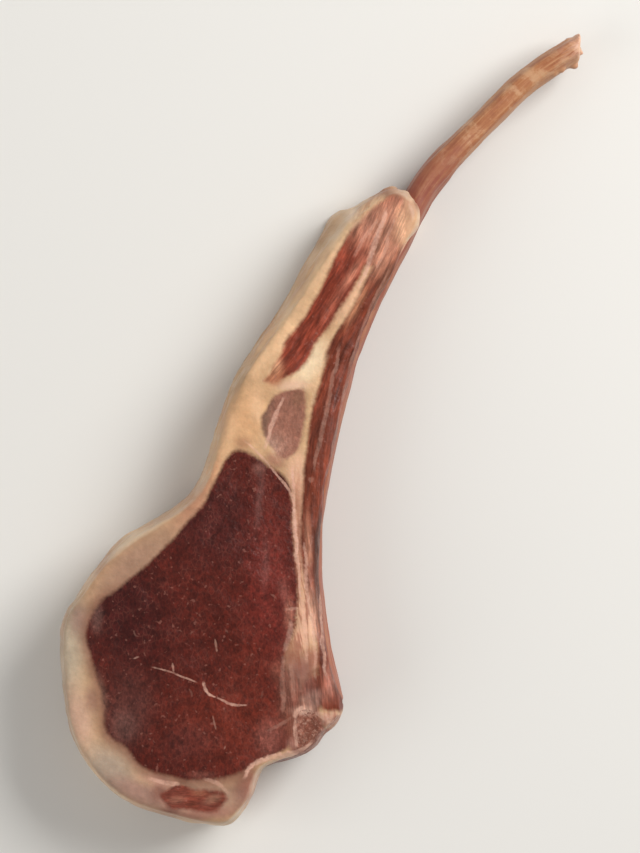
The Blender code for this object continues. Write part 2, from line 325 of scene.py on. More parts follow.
def paintedDepth(places, depths):
    # The lean as it is painted, which spreads a little over the fat here and there
    depth = np.max(np.stack(list(depths.values())), axis=0)
    tissue = signedDepth(places[:, :2] - driftAt(places[:, 2]), catmull(tailTissue, closed=True))
    depth = np.maximum(depth, tissue)
    for middle, size, turn, amount in spreads:
        depth = depth + amount * patchShare(places, middle, size, turn)
    wobble = places[:, :2] + sawnSide["ragged"] * softNoise(places, 2.6, 45)[:, None]
    sawn = patchShare(wobble, sawnSide["middle"], sawnSide["half"], sawnSide["turn"])
    sawn *= ease(sawnSide["top"][1], sawnSide["top"][0], places[:, 2])
    return depth + sawnSide["spread"] * sawn


# The rib is an upright oval in section, with relief that a knife left along it
rib = {
    "voxel": 0.3,  # mm
    "smoothing": 7,                       # rounds
    "height": 7.6,                        # mm, of its middle
    "halfWidth": 2.1,                     # mm
    "tallness": 2.1,                      # about its height over its width
    "radius": 4.2,                        # mm, turns an angle round it into a length
    "scrape": (0.13, 1.1, 14),            # mm deep, mm wide and how drawn out
    "chip": (0.065, 0.8, 3),              # and the same of the short chips between the scrapes
    "swell": (0.16, 5.0),                 # mm deep and mm across, slow unevenness
    "film": (0.28, 0.18),                 # mm, depth and unevenness of what is left at the meat
    "filmEnds": (1, 9, 3),                # mm past the meat where it thins out, and how raggedly
    "grow": 0.2,                          # mm, against what smoothing takes off the bare part
    "middle": [(8.5, -39.2), (6.4, -30), (4.75, -18), (4.6, -6), (6.1, 5), (8.3, 15.5),
               (11.1, 26), (15.4, 36.7), (20.4, 47), (24.5, 55.5), (29.6, 62.2), (37.2, 69.8),
               (45, 77.3), (54.2, 83.3)],
    "bareFrom": 103.0,                    # mm along the rib, where it leaves the meat
    # Small flakes: balls in slanted mm, with the height and the radius
    "flakes": [[(51.6, 83.4, 8.2, 0.8), (52.7, 84.3, 8.4, 0.7), (53.8, 85.1, 8.5, 0.5)],
               [(54.2, 83, 6.2, 0.8), (54.9, 82.4, 5.6, 0.5)],
               [(52.3, 80.9, 7.4, 0.9), (53, 80.3, 7.6, 0.8), (53.6, 79.9, 7.4, 0.6)],
               [(48.2, 78, 9.2, 0.6), (49.6, 78.6, 9.4, 0.7), (51, 79.2, 9.2, 0.7)]],
}


def curvePlaces(places, line):
    # Millimetres along a line and beside it, to the left of its direction
    spans = np.diff(line, axis=0)
    lengths = np.hypot(*spans.T)
    starts = np.concatenate([[0], np.cumsum(lengths)])
    best = np.full(len(places), 1e9)
    along = np.zeros(len(places))
    across = np.zeros(len(places))
    for start, span, length, begun in zip(line, spans, lengths, starts):
        offset = places - start
        share = np.clip((offset @ span) / length ** 2, 0, 1)
        away = offset - share[:, None] * span
        reach = np.hypot(*away.T)
        nearer = reach < best
        best = np.where(nearer, reach, best)
        along = np.where(nearer, begun + share * length, along)
        turned = (span[0] * offset[:, 1] - span[1] * offset[:, 0]) / length
        across = np.where(nearer, turned, across)
    return along, across


ribLine = catmull(rib["middle"], closed=False)
ribLength = np.hypot(*np.diff(ribLine, axis=0).T).sum()


def addShred(name, points):
    # A few overlapping balls that the remesh melts into one soft scrap
    balls = []
    for x, y, z, radius in points:
        bpy.ops.mesh.primitive_uv_sphere_add(segments=12, ring_count=8, radius=radius * mm,
                                             location=toFrame((x, y), z))
        bpy.ops.object.transform_apply(location=True, rotation=True, scale=True)
        balls.append(bpy.context.object)
    selectOnly(*balls)
    bpy.ops.object.join()
    bpy.context.object.name = name
    return bpy.context.object


def buildRib():
    bone = copyNode("rib_bone", "rib")
    selectOnly(bone, *[addShred("flake", balls) for balls in rib["flakes"]])
    bpy.ops.object.join()
    applyModifier(bone, "REMESH", mode="VOXEL", voxel_size=rib["voxel"] * mm)
    applyModifier(bone, "SMOOTH", factor=0.5, iterations=rib["smoothing"])
    places = toSlanted(readPoints(bone.data))
    normals = readNormals(bone.data)
    along, across = curvePlaces(places[:, :2], ribLine)
    around = rib["radius"] * np.arctan2(places[:, 2] - rib["height"], across * rib["tallness"])
    still = np.zeros(len(along))
    scrapes = np.stack([around, along / rib["scrape"][2], still], axis=1)
    chips = np.stack([around / 1.4, along / rib["chip"][2], still], axis=1)
    push = rib["scrape"][0] * softNoise(scrapes, rib["scrape"][1], 3)
    push += rib["chip"][0] * softNoise(chips, rib["chip"][1], 4)
    push += rib["swell"][0] * softNoise(places, rib["swell"][1], 6)
    bareFrom = rib["bareFrom"]
    first, last, ragged = rib["filmEnds"]
    film = ease(bareFrom + last, bareFrom + first, along + ragged * softNoise(chips, 1.6, 8))
    push += film * (rib["film"][0] + rib["film"][1] * softNoise(scrapes, 0.8, 9))
    push += rib["grow"] * ease(bareFrom - 3, bareFrom + 2, along)
    push *= ease(ribLength + 0.5, ribLength - 1.5, along)  # flat again at the saw cut
    writePoints(bone.data, readPoints(bone.data) + normals * push[:, None] * mm)
    selectOnly(bone)
    bpy.ops.object.shade_smooth_by_angle(angle=chop["smoothAngle"])
    mesh = bone.data
    store(mesh, "boneGrain", np.stack([around, along / 9, across * 0.2], axis=1), "FLOAT_VECTOR")
    # The sawn face is where the rib ends and its normals point along it
    facing = np.abs(readNormals(mesh) @ np.array(tipDirection()))
    store(mesh, "sawn", ease(-2.2, -0.5, along - ribLength) * ease(0.3, 0.7, facing))
    base = ease(bareFrom + 14, bareFrom - 1, along)
    store(mesh, "meatEnd", base)
    edge = ease(0.6, 1.0, np.abs(across) / rib["halfWidth"])
    store(mesh, "edge", edge * (1 - 0.75 * base))
    store(mesh, "frayed", ease(ribLength - 6, ribLength - 0.5,
                               along + 1.2 * softNoise(places, 1.6, 12)))
    print("rib:", len(mesh.polygons), "faces")
    return bone


def tipDirection():
    # The way the rib points at its sawn end
    away = ribLine[-1] - ribLine[-4]
    flat = toFrame(away, 0) - toFrame((0, 0), 0)
    return flat.normalized()


bone = buildRib()

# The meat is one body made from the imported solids, which is cut into its tissues afterwards
relief = {
    "grow": 0.2,              # mm, added all round before the remesh, and taken off after it:
    "shrink": (0.15, 0.25),   # mm, on the cut faces and on the outer side
    "smoothing": 10,          # rounds
    "lump": (0.22, 7.0),      # mm deep, mm across
    "dimple": (0.10, 2.4),
    "grain": (0.045, 0.9),
    "seam": (0.12, 0.45),     # mm, how far the border between lean and fat sinks, and its width
    "fatRise": 0.14,          # mm, how far the fat stands above the lean
    "strand": 0.11,           # mm, depth of the furrows along a strip of muscle
    "wall": ((0.4, 4.0), (0.18, 1.5)),   # mm deep and mm across, unevenness of the outer side
    "drawn": (0.6, 0.6, 1.4),            # which is longer along it than down it
    "belly": (0.2, 18),       # mm, swelling of the outer side, and the height that it covers
    "ground": 1.2,            # mm, what starts lower than this stays above the ground
    "cling": (0.45, 0.8),     # mm from the rib: full cling, and none
    "sink": 0.08,             # mm, how far what clings to the rib goes into it
    # Scraps at the collar: balls in slanted mm, with the height and the radius
    "scraps": [[(17.8, 54.4, 10.5, 1.2), (18.5, 55.4, 10.8, 1.2), (19.4, 56, 10.6, 1.1)],
               [(23, 51.6, 12.8, 1.2), (23.4, 52.6, 12.4, 1.2), (23.2, 53.7, 11.4, 1.1)],
               [(20.8, 54.2, 11.8, 1.2), (21.6, 55, 11.2, 1.2), (22.3, 55.3, 10.2, 1)]],
}
fibreLines = {
    "cap": catmull([(-2.5, 21), (1.5, 26), (5, 31.5), (8.5, 37), (11.5, 42), (15, 49),
                    (18.5, 57)], False),
    "ribStrip": catmull([(6.3, -39.3), (5.5, -32), (3.9, -21), (2.5, -11), (2.3, -3), (3.1, 7),
                         (4.6, 16), (7.2, 24.5), (10.8, 31.8), (15.2, 40), (18.5, 47),
                         (22.5, 57)], False),
}
# Grain's size for each mm, across, along and down: the ends of bundles, the heel's slanting
# bundles, and fibres that lie lengthwise
grainScale = {"ends": (1.2, 0.8, 0.35), "slanting": (0.4, 1.4, 0.5), "long": (1.5, 0.22, 0.5)}
stripsMeet = (15.0, 47.0)     # where tissue covers both strips


def fibrePlaces(places, name):
    # Millimetres in which muscle grain is drawn: a strip is cut along its fibres, so its grain
    # is long, and the other muscles are cut across them, so they show the ends of their bundles
    ends = places * np.array(grainScale["ends"])
    if name in ("eye", "round", "chine"):
        return ends
    if name == "heel":
        return places * np.array(grainScale["slanting"])
    along, across = curvePlaces(places[:, :2], fibreLines["ribStrip"])
    if name == "cap":
        # Its own direction low down, and the other strip's where tissue covers them both
        meet = np.array([stripsMeet])
        atMeet = [curvePlaces(meet, fibreLines[strip]) for strip in ("ribStrip", "cap")]
        own = curvePlaces(places[:, :2], fibreLines["cap"])
        share = ease(46, 32, places[:, 1])
        along = along + (own[0] + atMeet[0][0] - atMeet[1][0] - along) * share
        across = across + (own[1] + atMeet[0][1] - atMeet[1][1] - across) * share
    long = np.stack([across, along, places[:, 2]], axis=1) * np.array(grainScale["long"])
    if name == "fat":
        # Fibres cross the fat only near the strips
        return mixRows(long, ends, ease(9, 18, np.abs(across)))
    return long


def buildSlab():
    nodes = ["fat_cap", "eye_lean", "cap_lean", "round_lean", "heel_lean", "rib_lean",
             "chine_bone"]
    parts = [copyNode(node, "slabPart") for node in nodes]
    parts += [addShred("scrap", balls) for balls in relief["scraps"]]
    selectOnly(*parts)
    bpy.ops.object.join()
    slab = bpy.context.object
    slab.name = "slab"
    applyModifier(slab, "DISPLACE", strength=relief["grow"] * mm, mid_level=0.0)
    applyModifier(slab, "REMESH", mode="VOXEL", voxel_size=chop["voxel"] * mm)
    applyModifier(slab, "SMOOTH", factor=0.5, iterations=relief["smoothing"])
    mesh = slab.data
    points = readPoints(mesh)
    normals = readNormals(mesh)
    places = toSlanted(points)
    depths = leanDepths(places)
    depth = paintedDepth(places, depths)
    wall = 1 - ease(0.2, 0.75, np.abs(normals[:, 2]))  # 1 where the surface stands upright
    lean = ease(-0.3, 0.5, depth)
    sink, width = relief["seam"]
    flat = np.full(len(points), -relief["shrink"][0])
    for seed, (deep, across) in enumerate((relief["lump"], relief["dimple"], relief["grain"])):
        flat += deep * softNoise(places, across, 20 + seed)
    flat += relief["fatRise"] * (1 - lean) - sink * np.exp(-(depth / width) ** 2)
    for strip in ("cap", "ribStrip"):
        grain = softNoise(fibrePlaces(places, strip), 0.8, 30)
        flat += relief["strand"] * ease(0, 0.8, depths[strip]) * grain
    side = np.full(len(points), -relief["shrink"][1])
    for seed, (deep, across) in enumerate(relief["wall"]):
        side += deep * softNoise(places * np.array(relief["drawn"]), across, 31 + seed)
    swell, height = relief["belly"]
    side += swell * np.sin(np.pi * np.clip(places[:, 2] / height, 0, 1))
    push = flat + (side - flat) * wall
    points = points + normals * push[:, None] * mm
    # Tissue clings to the rib: what lies within a millimetre of it is drawn against it
    bpy.context.view_layer.update()
    ribTree = BVHTree.FromObject(bone, bpy.context.evaluated_depsgraph_get())
    full, none = relief["cling"]
    for i, point in enumerate(points):
        point = Vector(point)
        onRib, ribNormal, _, reach = ribTree.find_nearest(point, none * mm)
        if onRib is not None and (point - onRib).dot(ribNormal) > 0:
            goal = onRib - ribNormal * relief["sink"] * mm
            points[i] = point.lerp(goal, max(0, min(1, (none - reach / mm) / (none - full))))
    low = places[:, 2] < relief["ground"]
    points[:, 2] = np.where(low, np.maximum(points[:, 2], 0), points[:, 2])
    writePoints(mesh, points)
    print("slab:", len(mesh.polygons), "faces")
    return slab


def cutFrom(slab, name, cutters, operation):
    piece = addObject(name, slab.data.copy())
    for cutter in cutters:
        applyModifier(piece, "BOOLEAN", operation=operation, solver="MANIFOLD", object=cutter)
    selectOnly(piece)
    bpy.ops.object.shade_smooth_by_angle(angle=chop["smoothAngle"])
    print(name, len(piece.data.polygons), "faces")
    return piece


# Each tissue's piece, the solid that it stands for, its slot, its material, and what differs
# there from the look that meat has
tissues = {
    "eye": ("eyeOfLoin", "eye_lean", "eye_lean", "wetLoinMuscle", {}),
    "cap": ("capStrip", "cap_lean", "cap_lean", "wetCapMuscle", {"patch": 0.38}),
    "round": ("roundMuscle", "round_lean", "round_lean", "wetRoundMuscle",
              {"mottle": 0.16, "patch": 0.14, "bundleTone": 0.1}),
    "heel": ("heelMuscle", "heel_lean", "heel_lean", "wetHeelMuscle", {}),
    "ribStrip": ("ribStrip", "rib_lean", "rib_lean", "wetRibMuscle", {"patch": 0.42}),
    "chine": ("chineScrap", "chine_bone", "chine_bone", "sawnSpongyBone", {"spongy": True}),
    "fat": ("fatRim", "fat_cap", "fat", "waxyLambFat", {"patch": 0.36}),
}
slab = buildSlab()
plugs = {name: buildPlug(name) for name in outlines}
pieces = {}
for name, tissue in tissues.items():
    if name == "fat":
        pieces[name] = cutFrom(slab, tissue[0], list(plugs.values()), "DIFFERENCE")
    else:
        pieces[name] = cutFrom(slab, tissue[0], [plugs[name]], "INTERSECT")
for helper in [slab, *plugs.values()]:
    bpy.data.objects.remove(helper)

# Colours that change slowly over the chop, stored as attributes: first each tissue's own, and
# that of the fat's uncut outer side
paint = {
    "eye": "541B12", "cap": "803624", "round": "966452", "heel": "76382A",
    "ribStrip": "703220", "chine": "9C6856", "fat": "CBA27A", "wall": "D8BA9A",
}
# Soft patches of another tone: middle, half sizes and turn in mm and degrees, tone, strength
leanPatches = [
    ((-30, -22), (8, 12), 20, "3A100E", 0.85),   # nearly black towards the outer end
    ((-14, -5), (8, 9), 20, "441916", 0.7),
    ((-3.5, -19), (4.5, 15), 0, "702820", 0.8),  # redder beside the rib
    ((-9, -43), (12, 8), 0, "6C281A", 0.8),
    ((-7, -32), (5, 6), 0, "622216", 0.7),
    ((-29.5, -40), (4.5, 7), 0, "56302A", 0.7),    # a grey bloom low on the outer end
    ((-18, -46), (5, 3), 10, "5E2E28", 0.5),
    ((0.8, -36), (2.4, 8), 0, "8C5C4C", 0.75),   # a smear of tissue at the inner edge
    ((3.4, -35), (1.6, 5), 0, "84564A", 0.7),
    ((3.4, -38.5), (1.5, 0.9), 0, "B08E7C", 0.7),
    ((1, -39), (1, 1.6), 0, "96584A", 0.7),
    # painted reflection: a faint pale streak down the eye, broken in two
    ((-5.1, -1.5), (0.7, 6), -5, "704C46", 0.4),
    ((-4.2, -13), (0.8, 5), 0, "7A4A44", 0.4),
    ((-2.5, 8.5), (3, 2.5), 0, "B08470", 0.6),
    ((17, 50.5), (6.4, 5.4), 0, "BE8268", 0.95),  # thin tissue drawn over the tail's end
    ((17.6, 43.8), (2.4, 4.6), -25, "BA8066", 0.9),
    ((15.4, 50), (0.7, 3.5), -22, "A26A56", 0.7),
    ((18.6, 48), (0.7, 4), -18, "A8705A", 0.6),
    # painted shade: darker brown along the strip's right edge
    ((17.8, 37), (1.1, 5), -22, "6A4630", 0.7),
    ((12.9, 34.6), (0.9, 4.2), -27, "B07A5A", 0.65),
    ((-2.8, 22.2), (2, 2.4), -40, "AC7454", 0.85),
    ((9.6, 36.5), (1, 6), -30, "9A5642", 0.6),
    ((21.8, 49), (1.8, 4), 5, "DCA884", 0.95),
    ((4.2, -24), (1.6, 6), 0, "D09A80", 0.9),
    ((3.9, -10), (0.7, 6), 0, "AA745C", 0.8),
    ((5.6, -12), (0.9, 7), 0, "4A2A20", 0.95),
    ((5, -37.8), (1.6, 1.4), 0, "A8766A", 0.8),
    ((2, -42.5), (3, 5), 0, "74402F", 0.7),
    ((-20.5, -56.8), (1.6, 0.7), 10, "9C6450", 0.7),
    ((-16.4, -55.6), (1.4, 0.6), -10, "9A5E46", 0.7),
    ((-14, -56.8), (1.5, 0.7), 20, "AC7860", 0.7),
    ((-17.8, -57.6), (1.2, 0.5), 0, "6C3222", 0.7),
    ((-4.4, 13), (1.3, 4.5), -14, "7A5C4A", 0.8),
    ((-3.6, 8.4), (2.2, 1.8), 0, "BE9480", 0.8),
    ((2.4, 17.4), (1.6, 1.8), 0, "94664F", 0.7),
    ((-3, -50.5), (4, 2.2), 20, "7C4A40", 0.8),
    ((-3.4, -45.4), (2.8, 3.4), 0, "8C5246", 0.7),  # a pinker corner beside the backbone
    ((3, -40.3), (2.2, 0.9), 0, "C49884", 0.8),
    ((4.9, -38), (1.4, 1.2), 0, "A47A6A", 0.8),
    ((2, -43.5), (0.9, 2.4), 0, "A66E5C", 0.7),
    ((7.6, -35.5), (1.5, 3.6), -8, "A86C5A", 0.75),
    ((12.2, 40.5), (0.8, 3.4), -28, "B6765E", 0.7),
    ((-16, -52.4), (2.4, 0.8), 0, "7E4A3E", 0.6),
    ((-2.3, 23.8), (1.3, 1.5), -35, "D29B77", 0.8),
    ((0.2, -22.4), (1, 2.6), 0, "A06452", 0.8),
    ((-0.8, -18.2), (0.9, 2.4), 0, "864A40", 0.7),
    ((8, 11), (0.8, 3.4), -10, "7A4438", 0.6),
    ((5.3, -39.3), (1, 0.8), 0, "A87E6E", 0.7),
    ((-30.5, -43.5), (2.5, 3), 0, "6E4A42", 0.6),
    # painted reflection: purple-grey along the eye's outer edge
    ((-35.4, -23), (1.2, 3), 0, "6E4C44", 0.7),
    ((-34.6, -37.5), (1, 4), 8, "7A5648", 0.7),
    ((-5.2, 4.2), (1.2, 1.2), 0, "7A5248", 0.6),
    ((0.8, -46.8), (1, 1.2), 0, "B07C6C", 0.7),
    ((5.3, -44), (1.4, 1.4), 0, "7A4638", 0.7),
    ((3.6, -40.8), (1.2, 0.7), 0, "CDA28E", 0.8),
    ((-2.2, -33.2), (1.2, 2), 0, "8E5040", 0.6),
]
fatPatches = [
    ((-41, -28), (4, 12), 0, "BCAA92", 0.9),     # greyer round the outer end: painted shade where the rim turns away from the light
    ((-38.5, -42), (2.6, 6), 10, "C8A088", 0.9),
    # painted shade: a greyer lower outer corner of the rim
    ((-33, -51), (6, 4), -35, "AA9684", 0.9),
    ((-18, -57), (12, 3.6), 0, "A98472", 0.9),
    ((-28, -13), (12, 4), 38, "A37E68", 0.9),
    ((-7.5, 13.5), (4, 6), -25, "D2A074", 0.8),
    ((4, 24), (2.4, 5), -30, "F0D4AE", 0.9),     # the bright wedge above the round muscle
    ((12, 36), (1.6, 6), -32, "E4B490", 0.8),
    ((-2, 29.5), (2.6, 9), -36, "E6BA90", 0.9),  # cream along the tail
    ((7, 43.5), (2, 8), -36, "EABE96", 0.9),
    ((-5.4, 16), (1.5, 3), 0, "E4B68C", 0.9),
    ((0.8, 19.8), (2.8, 1), 0, "E6BA9C", 0.9),
    ((-2.2, 5.9), (2, 1.4), -30, "A6755E", 0.9),
    ((-8.2, 9.2), (1.6, 1.2), 0, "A87A5A", 0.8),
    ((-17, -2), (2.2, 6), -38, "B07C62", 0.8),
    ((0.2, -30.5), (1.6, 3), 0, "A0684F", 0.9),
    ((2.4, -31.8), (1.8, 2), 0, "A06E58", 0.9),
    ((-11.5, 11), (2, 5), -20, "E8B88C", 0.8),
    ((-15.2, 3), (1.8, 4), -35, "E0A27C", 0.8),
    ((-8, -55.8), (2.6, 3), 0, "8E6456", 0.9),
    ((-15.5, -59.6), (8, 1.4), 6, "9C6C5C", 0.85),
    ((-28, -55.4), (6, 2.2), -22, "A07A6C", 0.85),
    ((-23.6, -55.4), (1.8, 2.6), 0, "86584A", 0.85),
    ((-7, -53.6), (2.2, 3), 0, "92604F", 0.9),
    ((-36.3, -38.4), (1.2, 2.6), 8, "A07864", 0.85),
    # painted shade: darker, greyer fat towards the outer end's rim
    ((-38.8, -23.6), (1.8, 3), 0, "98796A", 0.85),
    ((5, -30.8), (1.6, 2.2), 0, "A86A58", 0.8),
    ((2, -27.4), (1, 2.2), 0, "E4A88E", 0.8),
    ((2.6, -33), (2, 1.6), 0, "8E5A4A", 0.8),
    ((3, -40.3), (2.2, 0.9), 0, "C49884", 0.8),
    ((4, -12), (0.8, 5), 0, "A66C58", 0.8),
    ((13.4, 51.2), (1.4, 3), -32, "F2D2B4", 0.9), # a bright edge round the tail's end
    ((-2.4, 20.6), (1.4, 1), 0, "AE7050", 0.8),
    ((22.8, 54), (1.4, 1.4), 0, "A0705A", 0.85),
    ((6.8, -42.3), (1.2, 0.9), 0, "96665A", 0.85),
    # painted shade: darker fat along the bottom edge below the heel
    ((-21.8, -59), (2.4, 1), 8, "7A5044", 0.85),
    ((1.6, 3), (1.8, 5), 0, "E0B090", 0.9),
    ((2, -10), (1.8, 12), 0, "C48E74", 0.9),
    ((3.6, -23.5), (2.2, 5), 0, "E6B294", 0.95),
    ((1.8, -36), (3.6, 6), 0, "98685A", 0.9),
    ((8.4, -42.2), (1.8, 1.6), 0, "C89A86", 0.9),
    ((-24, -53.4), (3.5, 1), -18, "CE9C86", 0.8),
    ((2, -44), (4, 5), 0, "8A5444", 0.8),
    ((16, 51.5), (5.5, 5), -20, "B47C64", 0.95),
    ((21.6, 50), (2.4, 4.8), 5, "DCAA86", 0.95),
    ((18.2, 56), (1.8, 1.6), 0, "986848", 0.9),
    ((20.4, 55.2), (2.8, 1.1), 0, "966A54", 0.9),
    ((23.2, 52.2), (1.2, 1.4), 0, "B88C70", 0.8),
]
wallPatches = [
    ((-2, 26), (12, 34), -32, "BE966E", 0.8),    # a drier, tanner skin along the tail, made darker still as painted shade of the slope that turns away from the light
    ((9, -42), (3.4, 4), 0, "A26E5C", 0.9),
    # painted shade: a greyer band down the outer end's side
    ((-41, -36), (4, 20), 0, "A48E7A", 0.8),
    ((-1.5, 31.5), (1.6, 5), -36, "D0A682", 0.7),
    ((6.3, 43), (1.2, 2.8), -36, "CCA47C", 0.7),
    ((20.8, 55.4), (3, 1.5), 0, "A0745C", 0.8),
    ((18.2, 55.4), (1.6, 1.6), 0, "966E58", 0.8),
    # painted shade: darker brown at the collar's right edge, beside the bone in shadow
    ((24.5, 53.2), (1, 1.6), 0, "8A5C46", 0.85),
    ((-17.2, -1.8), (1.6, 5), -38, "AE7C62", 0.7),
    ((-33, -13.4), (3, 1.6), 38, "A8785F", 0.6),
    # painted shade along the bottom edge
    ((-14, -60.4), (4, 1.2), 0, "8E6454", 0.6),
    ((-7, -55), (2.6, 5), 0, "A27060", 0.8),
    # painted shade: a darker band on the side below the heel
    ((-22, -59.4), (4, 1.6), -8, "8A6050", 0.5),
    # painted light: a brighter corner at the tail's end, where the faces tilt away from the lamps
    ((12.8, 51), (1.3, 1.5), -32, "FBE2C8", 0.9),
    ((23.2, 52.2), (1.2, 1.4), 0, "B88C70", 0.8),
    # painted shade: darker tan spots on the slope along the tail
    ((-8.4, 20.6), (1.2, 3), -36, "A88460", 0.7),
    ((6.6, 46.4), (1.2, 1.8), -36, "A07C58", 0.7),
    ((8.2, 49), (1.2, 1.6), -36, "A88460", 0.6),
    ((3.6, 39), (1, 2), -36, "B48C66", 0.6),
]
# Fat with fibres of muscle in it: middle, half sizes, turn, how much shows
fibrous = [
    ((2.6, -22), (2.6, 12), 0, 0.8),
    ((1.6, -4), (1.2, 10), 0, 0.45),
    ((3, -38), (4, 5), 0, 0.8),
    ((17.5, 50), (5, 6), 0, 0.5),
    ((8.6, -42), (2.8, 2.8), 0, 0.6),
]
paintEdges = (0.3, 2.6)       # mm aside and mm across, of the patches' uneven edges
# The outer side, and how much of its own colour covers the fat there: by how upright it is, by
# how far it lies outside the lean in mm
outerSide = {"upright": (0.55, 0.95), "outside": (0.5, 0.8), "cover": 0.9}
# Fat that darkens towards the outer and lower side of the eye: from where to where in mm, reach
# in mm, tone, strength
eyeShade = {"x": (-1, -9), "y": (-13, -21), "reach": 1.5, "tone": "7C4E40", "strength": 0.75}
# A bright rim where the cut face ends along the tail, from how high up in mm it shows
tailRim = {"reach": 0.9, "tone": "EAC498", "strength": 0.7, "from": (12, 14.5),
           "line": [(17.4, 54.4), (15.2, 53), (13, 51), (8.5, 46.2), (4.5, 40.2), (0, 33.2),
                    (-5, 26.7)]}
# Thin pale lines: half width in mm, strength, points
marbling = [
    (0.18, 0.48, [(-25.5, -32.2), (-22.5, -32.9), (-20.5, -33.6), (-18.5, -34.3), (-16.5, -35.2)]),
    (0.30, 0.72, [(-15.6, -34.8), (-15.3, -36.2), (-14.8, -37.2), (-13.5, -37.9)]),
    (0.22, 0.6, [(-13.5, -37.9), (-11, -39), (-9.5, -39.5), (-7.6, -39.6)]),
    (0.20, 0.5, [(-21.3, -31.5), (-21, -33.2)]),
    (0.24, 0.5, [(-28.3, -30.7), (-27.5, -30.3)]),
    (0.20, 0.3, [(-13.5, -27), (-13.2, -29.5)]),
    (0.20, 0.3, [(-14, -41.5), (-13.2, -44)]),
    (0.60, 0.2, [(4.2, 2.7), (4.7, 2)]),
    (0.46, 0.24, [(9.9, 28), (9, 23), (8.2, 19), (7.2, 14.5), (6.1, 10), (5.3, 6), (5, 3)]),
    (0.40, 0.65, [(-0.5, 18), (-2, 15), (-3, 12), (-3.5, 10), (-4.2, 7.8)]),
    (0.36, 0.3, [(17.2, 51), (15.6, 48.6), (13.8, 46), (12.4, 43.4)]),
    (0.50, 0.65, [(18.6, 53), (17.6, 49.6), (16.4, 46.2), (15.3, 42.8), (14.4, 40.4),
                  (12.9, 37.6)]),
    (0.36, 0.3, [(20, 51), (19, 47.5), (18, 44.4), (16.6, 41)]),
]
membranes = [
    (0.34, 0.2, [(20, 43), (16.8, 36.8), (14.5, 31), (12.6, 25.5), (11, 19.5), (9.6, 13),
                 (8.3, 6.5), (7.2, 2)]),
    (0.26, 0.6, [(-8.5, 10), (-5, 7), (-2.5, 4), (0.5, 0), (1.6, -5), (1.8, -14)]),
    (0.34, 0.6, [(1.6, -47.4), (1.3, -44.4), (1.4, -42)]),
    (0.55, 0.65, [(1.3, -42), (1.7, -40.6), (3.2, -39.7)]),
    (0.50, 0.55, [(5.2, -41), (7, -41.6), (8.8, -42.6)]),
    (0.55, 0.85, [(5, -45.6), (3.3, -47.4), (0, -48.6), (-4, -49.4), (-6.6, -50.8),
                  (-8.2, -53.2)]),
    (0.36, 0.5, [(6.3, -18), (6.5, -25), (6.8, -31), (7.4, -35)]),
    (0.50, 0.2, [(-0.9, -30), (-1.1, -35), (-0.8, -41)]),
    (0.34, 0.16, [(-4, -44.2), (-1.5, -43.2), (1, -41.6)]),
    (0.40, 0.4, [(2.6, -20), (3.2, -26), (3.3, -32)]),
    (0.34, 0.3, [(4.4, -22), (4.9, -28), (5.2, -35)]),
    (0.34, 0.75, [(0.8, 5.5), (1.1, 2.5), (1.3, -5), (1.6, -10), (2.2, -16), (2.5, -21)]),
    (0.34, 0.6, [(3, -9), (3.5, -15), (3.9, -19), (4, -22)]),
    (0.3, 0.28, [(-0.8, -21.8), (2.2, -21.6)]),
    (0.5, 0.3, [(0.4, -23.4), (0.2, -27), (-0.8, -29.8)]),
    (0.5, 0.2, [(0.6, -31.4), (1, -35), (0.9, -39)]),
    (0.40, 0.6, [(-26, -52.9), (-22.5, -54), (-20, -54)]),
    (0.42, 0.35, [(-16, -53), (-12.5, -54.2), (-11, -56)]),
]
# How thin lines are drawn
threads = {
    "apart": 3,            # mm, lines nearer than this go into different layers
    "reach": 2.4,          # mm, how far from a line its places are worked out
    "fade": (0.6, 0.95),   # mm from a line, where it fades out
    "taper": 0.4,          # how much narrower it gets towards its ends
}
# Short faint strokes of fat between the muscle bundles of the eye: ranges in mm, except the
# heading's middle and spread in degrees, the bend in radians and the strength
strokes = {"count": 8, "seed": 5, "x": (-36, 0), "y": (-51, 5), "inside": 2, "heading": (100, 35),
           "step": (0.3, 0.8), "bend": 0.3, "half": (0.14, 0.24), "strength": (0.08, 0.18)}


def scatterMarbling():
    dice = np.random.default_rng(strokes["seed"])
    lines = []
    while len(lines) < strokes["count"]:
        x, y = dice.uniform(*strokes["x"]), dice.uniform(*strokes["y"])
        if signedDepth(np.array([[x, y]]), loops["eye"])[0] < strokes["inside"]:
            continue
        heading = math.radians(dice.normal(*strokes["heading"]))
        step = dice.uniform(*strokes["step"])
        turned = heading + dice.normal(0, strokes["bend"])
        line = [(x, y), (x + step * math.cos(heading), y + step * math.sin(heading)),
                (x + 2 * step * math.cos(turned), y + 2 * step * math.sin(turned))]
        lines.append((dice.uniform(*strokes["half"]), dice.uniform(*strokes["strength"]), line))
    return lines


def addPatches(places, colours, patches):
    for middle, size, turn, tone, strength in patches:
        share = patchShare(places, middle, size, turn) * strength
        colours = mixRows(colours, linear(tone), share)
    return colours


def sortThreads(lines):
    # Lines that lie close together go into different layers, so that each keeps its own sides
    layers = []
    for half, strength, points in lines:
        line = catmull(points, closed=False)
        for layer in layers:
            if all(lineDistance(line, other).min() > threads["apart"] for _, _, other in layer):
                break
        else:
            layer = []
            layers.append(layer)
        layer.append((half, strength, line))
    return layers


